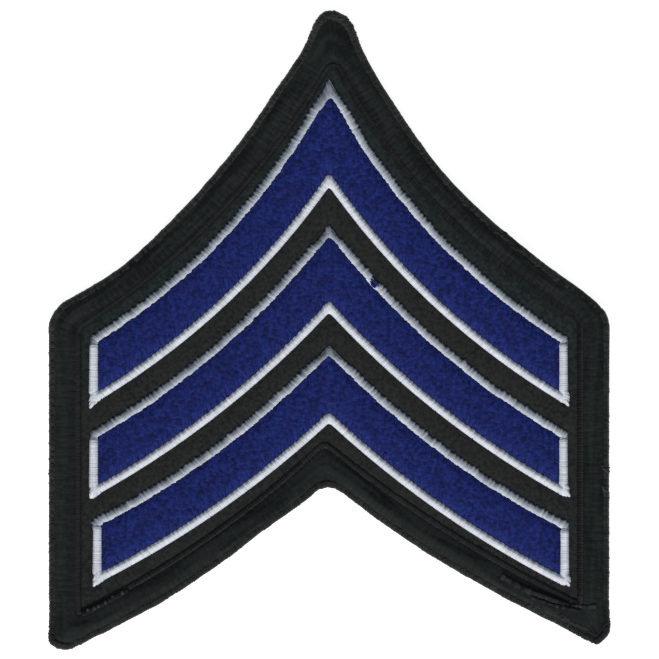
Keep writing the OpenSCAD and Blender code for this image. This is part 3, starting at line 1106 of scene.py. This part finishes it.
# Painted light and shade by facing: knots are lighter on the upper sides, most on the upper right, as a
# painted highlight with some real wear, and darker on the lower sides.
KNOT_UPPER_HIGHLIGHT_AND_WEAR = 0.9
KNOT_FADE = -0.1
KNOT_WIDER = (0.15, 0.35)
KNOT_HIGHER = 0.1
KNOT_RIGHT_PAINTED_HIGHLIGHT = 0.3
KNOT_PEAK_DARK = 0.6
KNOT_SHARE = 0.27
KNOT_OUT = (-0.06, -0.02)
KNOT_LONG = (1.0, 1.15)
KNOT_SHORT = 0.98
KNOT_LEAN = (0.25, 0.14)
KNOT_WIDTHS = (1.05, 1.15)
KNOT_SPREAD = 0.2
KNOT_PATH = ((0.16, 0.12), (0.07, 0.3), (0.05, 0.5), (0.11, 0.72), (0.2, 0.86), (0.27, 0.84))
KNOT_SWELL = (0.7, 1, 1.05, 1.05, 0.95, 0.5)

knot_reach = KNOT_SHARE * border_w
knot = model_thread(
    "knot", KNOT_PATH, border_w, border_h, KNOT_RADIUS, KNOT_SWELL, 0.26, middle=KNOT_SHARE / 2)
knot_places = []
rim_stops, foot_stops = border_stops(KNOT_PITCH / 2)
for a, b, stray in zip(rim_stops, foot_stops, wander(len(rim_stops))):
    z = chance.gauss(0, 0.03) * MM
    a, b = lift(a, z), lift(b, z)
    way = (b - a).normalized()
    long_knot = len(knot_places) % 2 == 0
    a -= way * (rim_stray(a) + stray * abs(way.y) + chance.uniform(*KNOT_OUT) * MM)
    upper = max(0, -way.y)
    wider = 1 + KNOT_WIDER[a.x > 0] * upper
    reached = knot_reach * wider * (chance.uniform(*KNOT_LONG) if long_knot else KNOT_SHORT)
    tone = chance.gauss(0, KNOT_SPREAD) - KNOT_UPPER_HIGHLIGHT_AND_WEAR * way.y + LEFT_PAINTED_LIGHT * way.x
    tone += KNOT_RIGHT_PAINTED_HIGHLIGHT * upper if a.x > 0 else 0
    tone -= KNOT_PEAK_DARK * near_peak(a.y)
    knot_places.append(across(
        a, a + way * reached, knot_reach, chance.gauss(*KNOT_LEAN), KNOT_WIDTHS[long_knot],
        tone, 1 + KNOT_HIGHER * (wider - 1), KNOT_FADE))
knots = lay_copies("rim_knots", knot, knot_places)
finish_piece(knots, rim_finish, "border_thread")

# %% [markdown]
# ## The needle line
# On the inner side the needle thread holds the turns down. It shows as a row of short slanted
# stitches between two rows of needle holes, one at the foot of the border and one in the cloth.
# It is painted lighter on the lower sides and on the right, and darker on the upper sides and on the
# left: painted light and shade.

# %% Needle line
NEEDLE_PITCH = 0.37 * MM
NEEDLE_RADIUS = 0.37 * MM
NEEDLE_REACH = (-0.55 * MM, 0.5 * MM)
NEEDLE_Z = cloth_top + 0.08 * MM
NEEDLE_SLOPE = 0.25 * MM
# Painted light and shade by facing: the needle line is lighter on the lower sides and on the right,
# darker on the upper sides and on the left.
NEEDLE_PAINTED_LIGHT = 0.9
NEEDLE_SIDE_PAINTED_LIGHT = 0.15
NEEDLE_LEAN = (0.45, 0.08)
NEEDLE_WIDTHS = (0.9, 1.2)
NEEDLE_TONE = (-0.1, 0.15)
NEEDLE_PATH = ((-0.5, -0.2), (-0.4, 0.02), (-0.1, 0.12), (0.2, 0.08), (0.42, -0.05), (0.5, -0.25))
NEEDLE_SWELL = (0.6, 1, 1, 1, 1, 0.6)

needle_length = NEEDLE_REACH[1] - NEEDLE_REACH[0]
needle = model_thread(
    "needle", NEEDLE_PATH, needle_length, MM, NEEDLE_RADIUS, NEEDLE_SWELL, 0.3, sides=5)
needle_places = []
for a, b in zip(*border_stops(NEEDLE_PITCH)):
    a, b = lift(a, NEEDLE_Z), lift(b, NEEDLE_Z)
    way = (b - a).normalized()
    start, end = b + way * NEEDLE_REACH[0], b + way * NEEDLE_REACH[1]
    start.z += NEEDLE_SLOPE
    needle_places.append(across(
        start, end, needle_length, chance.gauss(*NEEDLE_LEAN), chance.uniform(*NEEDLE_WIDTHS),
        chance.gauss(*NEEDLE_TONE) + NEEDLE_PAINTED_LIGHT * way.y - NEEDLE_SIDE_PAINTED_LIGHT * way.x))
needles = lay_copies("needle_line", needle, needle_places)
finish_piece(needles, needle_finish, "border_thread")

# %% [markdown]
# ## Tails and loose threads
# An overlock seam ends in a chain of thread. Here one end of it was sewn back along the border by
# the left foot, where it stands up as a ridge with a few light links, and the other end lies loose
# over the right foot. Where the border is worn its thread is frayed into short light fibres that
# lie along it. All of these are rows of bits that overlap, along lines in mm read from the
# photograph, and each bit is dropped onto the border below it.

# %% Tail and strands
BIT_RADIUS = 0.2 * MM
BIT_PATH = ((-0.62, -0.02), (-0.5, 0.0), (-0.2, 0.01), (0.2, 0.01), (0.5, 0.0), (0.62, -0.02))
BIT_SWELL = (0.4, 0.9, 1, 1, 0.9, 0.4)
TAIL = ((-33.5, -38.8), (-32.0, -38.05), (-30.2, -37.1), (-28.8, -36.35), (-27.5, -35.6))
TAIL_PITCH = 0.4 * MM
TAIL_OVERLAP = 0.4
# Each row: how far aside, width, tone, how far above
TAIL_ROWS = ((0.0, 1.9, -0.1, 0.06), (0.3, 1.6, -0.3, 0.0))
LINKS = (
    (-32.87, -38.2), (-31.95, -37.95), (-31.38, -37.65), (-30.44, -37.15), (-29.5, -36.4),
    (-28.15, -35.85))
LINK_ABOVE = 0.3 * MM
LINK_WIDTH = 1.4
# Each row: line, width, tone, share of bits left out
STRANDS = (
    (((23.4, -33.6), (26.6, -35.4), (30.3, -36.85), (32.6, -37.6)), 1.8, -0.3, -0.04),
    # The second strand is darker: painted shade of the groove beside the loose end.
    (((27.5, -36.5), (31.0, -37.7), (34.0, -38.3)), 1.2, -0.5, -0.04),
    (((32.9, -37.6), (34.3, -37.75), (36.2, -37.67)), 1.3, 0.25, 0.0))
STRAND_PITCH = 0.5 * MM
# Each row: line, how far the fibres spread, how many, tone, how far above
FRAYED = (
    (((27.6, -37.7), (31.5, -39.4), (35.0, -41.0)), 0.3, 60, 0.1, 0.0),
    (((0.3, 42.9), (2.1, 42.3)), 0.12, 14, 0.8, 0.3),
    (((22.0, 13.9), (26.2, 10.9)), 0.2, 30, 0.0, 0.05))
LINT = ((37.4, -21.8), (37.7, -18.9))
LINT_BITS = 6
LINT_TONE = 3.0

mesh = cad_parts["merrowed_border"].data
border_top = BVHTree.FromPolygons([v.co for v in mesh.vertices], [p.vertices for p in mesh.polygons])


def dropped(x, y, above):
    """A point a little above the border, or above the cloth where there is no border."""
    hit = border_top.ray_cast(Vector((x, y, 1)), Vector((0, 0, -1)))[0]
    return Vector((x, y, max(hit.z if hit else cloth_top, cloth_top) + above))


def row_along(points, pitch, aside=0.0):
    """Points a pitch apart along an open line in mm, and moved sideways from it."""
    line = np.array(points) * MM
    along = np.append(0, np.cumsum(np.linalg.norm(np.diff(line, axis=0), axis=1)))
    places = np.linspace(0, along[-1], round(along[-1] / pitch) + 1)
    row = np.column_stack([np.interp(places, along, column) for column in line.T])
    ahead = np.gradient(row, axis=0)
    ahead /= np.linalg.norm(ahead, axis=1)[:, None]
    return row + np.column_stack([-ahead[:, 1], ahead[:, 0]]) * aside


def laid_bit(a, b, low, high, lean, width, tone, rise=1.0):
    """The place of a bit whose ends are dropped onto the border, each a little above it."""
    return across(dropped(*a, low), dropped(*b, high), PLAIN_LENGTH, lean, width, tone, rise)


bit = model_thread("thread_bit", BIT_PATH, MM, MM, BIT_RADIUS, BIT_SWELL, 0.6)
tail_places = []
for aside, width, tone, above in TAIL_ROWS:
    row = row_along(TAIL, TAIL_PITCH, aside * MM)
    for a, b in zip(row, row[1:]):
        over = (b - a) * TAIL_OVERLAP
        tail_places.append(laid_bit(
            a - over, b + over, above * MM, above * MM, chance.gauss(-0.2, 0.1), width,
            chance.gauss(tone, 0.2), 1.2))
finish_piece(lay_copies("border_tail", bit, tail_places), border_finish, "border_thread")

loose_places = []
for x, y in LINKS:
    reached = Vector((0.12, 0.02)) * chance.uniform(0.8, 1.5)
    a, b = (Vector((x, y)) - reached) * MM, (Vector((x, y)) + reached) * MM
    loose_places.append(laid_bit(
        a, b, LINK_ABOVE, LINK_ABOVE, 0, LINK_WIDTH, chance.uniform(0.3, 1.2)))
for line, width, tone, missing in STRANDS:
    row = row_along(line, STRAND_PITCH)
    heights = [chance.uniform(0.03, 0.1) * MM for _ in row]
    for a, b, low, high in zip(row, row[1:], heights, heights[1:]):
        if chance.random() >= missing:
            loose_places.append(laid_bit(
                a, b, low, high, chance.gauss(0, 0.1), width * chance.uniform(0.7, 1.2),
                chance.gauss(tone, 0.4), 0.5))
for line, spread, count, tone, above in FRAYED:
    row = row_along(line, FINE)
    for _ in range(count):
        at = chance.randrange(len(row) - 1)
        middle = Vector(row[at]) + Vector((chance.gauss(0, spread), chance.gauss(0, spread))) * MM
        way = Vector(row[at + 1] - row[at]).normalized() * chance.uniform(0.2, 0.5) * MM
        way.rotate(Matrix.Rotation(chance.gauss(0, 0.3), 2))
        a, b = dropped(*(middle - way), above * MM), dropped(*(middle + way), above * MM)
        if min(a.z, b.z) > cloth_top + above * MM:
            loose_places.append(across(
                a, b, PLAIN_LENGTH, 0, chance.uniform(0.4, 0.75), chance.gauss(tone - 0.2, 0.35), 0.35))
for x, y in LINT:
    for _ in range(LINT_BITS):
        a = Vector((x + chance.gauss(0, 0.18), y + chance.gauss(0, 0.18))) * MM
        b = a + Vector((chance.gauss(0, 0.25), chance.gauss(0, 0.25))) * MM
        loose_places.append(laid_bit(a, b, 0.14 * MM, 0.18 * MM, 0, 0.6, LINT_TONE, 0.6))
finish_piece(lay_copies("loose_strands", bit, loose_places), stray_finish, "border_thread")

# %% [markdown]
# ## The last lines
# The shapes that the stitches were copied from aren't part of the patch, so they are taken out.

# %% Finish
for shape in (fill_stitch, satin_stitch, upper_stitch, wrap, knot, needle, bit):
    bpy.data.objects.remove(shape)
